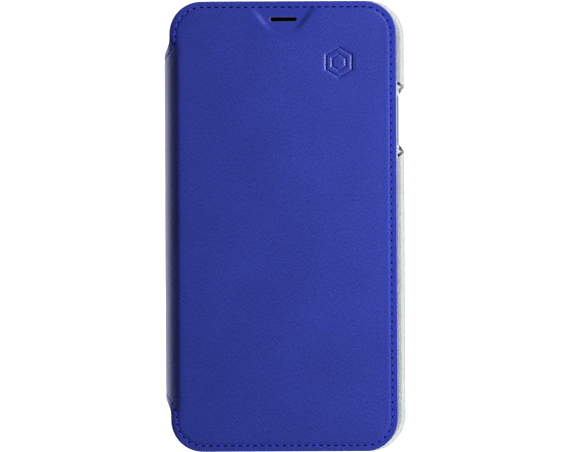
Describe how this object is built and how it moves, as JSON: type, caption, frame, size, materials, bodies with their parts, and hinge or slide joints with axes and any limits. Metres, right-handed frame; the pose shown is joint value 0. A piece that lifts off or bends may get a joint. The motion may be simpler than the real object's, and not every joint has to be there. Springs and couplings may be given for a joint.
{
  "type": "phone wallet case",
  "caption": "Folio phone case: clear hard shell with a padded blue leather cover that folds on a narrow spine and carries card pockets inside.",
  "frame": {"origin": "centre of the closed case's footprint, at the level of the back strap's outer face", "axes": "+Z out of the front cover, +Y towards the top of the phone, +X away from the spine; the case is closed and lies on its back"},
  "size_m": [0.0816, 0.1534, 0.0143],
  "materials": {
    "clear_plastic": "clear moulded polycarbonate, polished",
    "film": "adhesive film",
    "blue_leather": "fine wrinkled grain, satin, royal blue",
    "pocket_leather": "smooth fine grain, royal blue",
    "lining": "brushed microfibre, dark blue",
    "thread": "bright blue sewing thread",
    "board": "stiffener board",
    "foam": "thin padding",
    "mesh": "fine black mesh"
  },
  "bodies": {
    "shell": {"clear_shell": "clear_plastic", "bond_film": "film", "back_leather": "blue_leather", "back_lining": "lining", "back_thread": "thread"},
    "spine": {"spine_leather": "blue_leather", "spine_stiffener": "board", "spine_lining": "lining", "spine_thread": "thread"},
    "cover": {"cover_leather": "blue_leather", "cover_foam": "foam", "cover_board": "board", "cover_lining": "lining", "slot_mesh": "mesh", "cover_thread_front": "thread", "cover_thread_inside": "thread", "card_pocket_rear": "pocket_leather", "card_pocket_front": "pocket_leather", "pocket_thread": "thread"}
  },
  "joints": [
    {"name": "spine_fold", "type": "hinge", "parent": "shell", "child": "spine", "pos_m": [-0.04075, 0, 0], "axis": [0, -1, 0], "range_deg": [0, 180]},
    {"name": "cover_fold", "type": "hinge", "parent": "spine", "child": "cover", "pos_m": [-0.04075, 0, 0.01435], "axis": [0, -1, 0], "range_deg": [0, 180]}
  ]
}
